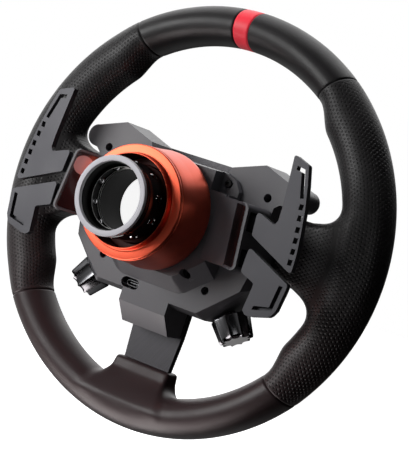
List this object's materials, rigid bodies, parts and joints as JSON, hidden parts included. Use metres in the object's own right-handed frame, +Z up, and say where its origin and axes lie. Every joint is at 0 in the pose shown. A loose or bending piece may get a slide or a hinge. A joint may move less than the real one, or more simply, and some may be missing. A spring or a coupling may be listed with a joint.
{
  "type": "sim racing wheel",
  "caption": "Leather-rimmed simulator racing wheel with a button housing, shift and clutch paddles behind the rim, fluted knobs and a round quick release.",
  "frame": {"origin": "centre of the quick release's mouth, where the wheel seats on its base", "axes": "+Z up with the wheel straight ahead, towards the band at the top of the rim; +Y along the quick release's axis, out of its mouth and away from the driver; +X to the driver's right"},
  "size_m": [0.3, 0.1474, 0.3],
  "materials": {
    "black_leather": "fine grained black leather, the grips perforated",
    "red_leather": "red leather band",
    "dark_grey_plastic": "satin dark grey moulding",
    "paddle_aluminium": "satin dark grey anodised",
    "frame_aluminium": "brushed black anodised",
    "gloss_black": "gloss black",
    "orange_anodised": "polished orange anodised",
    "grey_ring": "matte grey",
    "steel": "bright steel",
    "circuit_board": "green circuit board",
    "pale_plastic": "pale satin moulding",
    "dark_window": "dark red-black polished panel"
  },
  "bodies": {
    "wheel_body": {"spoke_frame": "frame_aluminium", "rim_top_wrap_right": "black_leather", "rim_top_wrap_left": "black_leather", "centre_stripe": "red_leather", "grip_wrap_left": "black_leather", "grip_wrap_right": "black_leather", "rim_bottom_wrap": "black_leather", "front_housing": "dark_grey_plastic", "front_faceplate": "frame_aluminium", "rear_cover": "dark_grey_plastic", "paddle_module_cover": "dark_grey_plastic", "module_window_left": "dark_window", "module_window_right": "dark_window", "main_circuit_board": "circuit_board", "paddle_board_left": "circuit_board", "paddle_board_right": "circuit_board", "usb_c_socket": "steel", "quick_release_hub": "orange_anodised", "sleeve_clamp_ring": "orange_anodised", "quick_release_sleeve": "gloss_black", "quick_release_ring": "grey_ring", "coupling_disc": "pale_plastic", "ball_cage": "steel", "collar_spring": "steel", "paddle_pin_left": "steel", "paddle_pin_right": "steel", "knob_encoder_left": "steel", "knob_encoder_right": "steel", "cover_screw_upper_left": "steel", "cover_screw_upper_right": "steel", "cover_screw_lower_left": "steel", "cover_screw_lower_right": "steel", "module_screw_upper_left": "steel", "module_screw_upper_right": "steel", "module_screw_lower_left": "steel", "module_screw_lower_right": "steel"},
    "collar": {"quick_release_collar": "orange_anodised"},
    "upper_paddle_left": {"upper_paddle_left": "paddle_aluminium"},
    "lower_paddle_left": {"lower_paddle_left": "paddle_aluminium"},
    "lower_knob_left": {"lower_knob_left": "gloss_black"},
    "front_dial_left": {"front_dial_left": "gloss_black"},
    "stick_gimbal_left": {"stick_gimbal_left": "steel"},
    "thumb_stick_left": {"thumb_stick_left": "gloss_black"},
    "button_left_1": {"button_left_1": "gloss_black"},
    "button_left_2": {"button_left_2": "gloss_black"},
    "button_left_3": {"button_left_3": "gloss_black"},
    "button_left_4": {"button_left_4": "gloss_black"},
    "button_left_5": {"button_left_5": "gloss_black"},
    "upper_paddle_right": {"upper_paddle_right": "paddle_aluminium"},
    "lower_paddle_right": {"lower_paddle_right": "paddle_aluminium"},
    "lower_knob_right": {"lower_knob_right": "gloss_black"},
    "front_dial_right": {"front_dial_right": "gloss_black"},
    "stick_gimbal_right": {"stick_gimbal_right": "steel"},
    "thumb_stick_right": {"thumb_stick_right": "gloss_black"},
    "button_right_1": {"button_right_1": "gloss_black"},
    "button_right_2": {"button_right_2": "gloss_black"},
    "button_right_3": {"button_right_3": "gloss_black"},
    "button_right_4": {"button_right_4": "gloss_black"},
    "button_right_5": {"button_right_5": "gloss_black"}
  },
  "joints": [
    {"name": "collar_slide", "type": "slide", "parent": "wheel_body", "child": "collar", "axis": [0, -1, 0], "range_m": [0, 0.0035], "stiffness_N_per_m": 1500, "springref_m": -0.002, "deforming": ["collar_spring"]},
    {"name": "upper_paddle_left_pull", "type": "hinge", "parent": "wheel_body", "child": "upper_paddle_left", "pos_m": [-0.062, -0.0664, 0], "axis": [0, 0, 1], "range_deg": [0, 6], "stiffness_Nm_per_rad": 1.2, "springref_deg": -2.86},
    {"name": "lower_paddle_left_pull", "type": "hinge", "parent": "wheel_body", "child": "lower_paddle_left", "pos_m": [-0.062, -0.0664, 0], "axis": [0, 0, 1], "range_deg": [0, 12], "stiffness_Nm_per_rad": 0.5, "springref_deg": -2.86},
    {"name": "lower_knob_left_turn", "type": "hinge", "parent": "wheel_body", "child": "lower_knob_left", "pos_m": [-0.0563, -0.1027, -0.0549], "axis": [-0.6234, 0.046, -0.7805], "continuous": true},
    {"name": "front_dial_left_turn", "type": "hinge", "parent": "wheel_body", "child": "front_dial_left", "pos_m": [-0.031, -0.1364, 0], "axis": [0, 1, 0], "continuous": true},
    {"name": "stick_left_up_down", "type": "hinge", "parent": "wheel_body", "child": "stick_gimbal_left", "pos_m": [-0.073, -0.1124, 0.0365], "axis": [1, 0, 0], "range_deg": [-10, 10], "stiffness_Nm_per_rad": 0.03},
    {"name": "stick_left_side", "type": "hinge", "parent": "stick_gimbal_left", "child": "thumb_stick_left", "pos_m": [-0.073, -0.1124, 0.0365], "axis": [0, 0, 1], "range_deg": [-10, 10], "stiffness_Nm_per_rad": 0.03},
    {"name": "button_left_1_press", "type": "slide", "parent": "wheel_body", "child": "button_left_1", "axis": [0, 1, 0], "range_m": [0, 0.0015], "stiffness_N_per_m": 400},
    {"name": "button_left_2_press", "type": "slide", "parent": "wheel_body", "child": "button_left_2", "axis": [0, 1, 0], "range_m": [0, 0.0015], "stiffness_N_per_m": 400},
    {"name": "button_left_3_press", "type": "slide", "parent": "wheel_body", "child": "button_left_3", "axis": [0, 1, 0], "range_m": [0, 0.0015], "stiffness_N_per_m": 400},
    {"name": "button_left_4_press", "type": "slide", "parent": "wheel_body", "child": "button_left_4", "axis": [0, 1, 0], "range_m": [0, 0.0015], "stiffness_N_per_m": 400},
    {"name": "button_left_5_press", "type": "slide", "parent": "wheel_body", "child": "button_left_5", "axis": [0, 1, 0], "range_m": [0, 0.0015], "stiffness_N_per_m": 400},
    {"name": "upper_paddle_right_pull", "type": "hinge", "parent": "wheel_body", "child": "upper_paddle_right", "pos_m": [0.062, -0.0664, 0], "axis": [0, 0, -1], "range_deg": [0, 6], "stiffness_Nm_per_rad": 1.2, "springref_deg": -2.86},
    {"name": "lower_paddle_right_pull", "type": "hinge", "parent": "wheel_body", "child": "lower_paddle_right", "pos_m": [0.062, -0.0664, 0], "axis": [0, 0, -1], "range_deg": [0, 12], "stiffness_Nm_per_rad": 0.5, "springref_deg": -2.86},
    {"name": "lower_knob_right_turn", "type": "hinge", "parent": "wheel_body", "child": "lower_knob_right", "pos_m": [0.0563, -0.1027, -0.0549], "axis": [0.6234, 0.046, -0.7805], "continuous": true},
    {"name": "front_dial_right_turn", "type": "hinge", "parent": "wheel_body", "child": "front_dial_right", "pos_m": [0.031, -0.1364, 0], "axis": [0, 1, 0], "continuous": true},
    {"name": "stick_right_up_down", "type": "hinge", "parent": "wheel_body", "child": "stick_gimbal_right", "pos_m": [0.073, -0.1124, 0.0365], "axis": [1, 0, 0], "range_deg": [-10, 10], "stiffness_Nm_per_rad": 0.03},
    {"name": "stick_right_side", "type": "hinge", "parent": "stick_gimbal_right", "child": "thumb_stick_right", "pos_m": [0.073, -0.1124, 0.0365], "axis": [0, 0, 1], "range_deg": [-10, 10], "stiffness_Nm_per_rad": 0.03},
    {"name": "button_right_1_press", "type": "slide", "parent": "wheel_body", "child": "button_right_1", "axis": [0, 1, 0], "range_m": [0, 0.0015], "stiffness_N_per_m": 400},
    {"name": "button_right_2_press", "type": "slide", "parent": "wheel_body", "child": "button_right_2", "axis": [0, 1, 0], "range_m": [0, 0.0015], "stiffness_N_per_m": 400},
    {"name": "button_right_3_press", "type": "slide", "parent": "wheel_body", "child": "button_right_3", "axis": [0, 1, 0], "range_m": [0, 0.0015], "stiffness_N_per_m": 400},
    {"name": "button_right_4_press", "type": "slide", "parent": "wheel_body", "child": "button_right_4", "axis": [0, 1, 0], "range_m": [0, 0.0015], "stiffness_N_per_m": 400},
    {"name": "button_right_5_press", "type": "slide", "parent": "wheel_body", "child": "button_right_5", "axis": [0, 1, 0], "range_m": [0, 0.0015], "stiffness_N_per_m": 400}
  ]
}
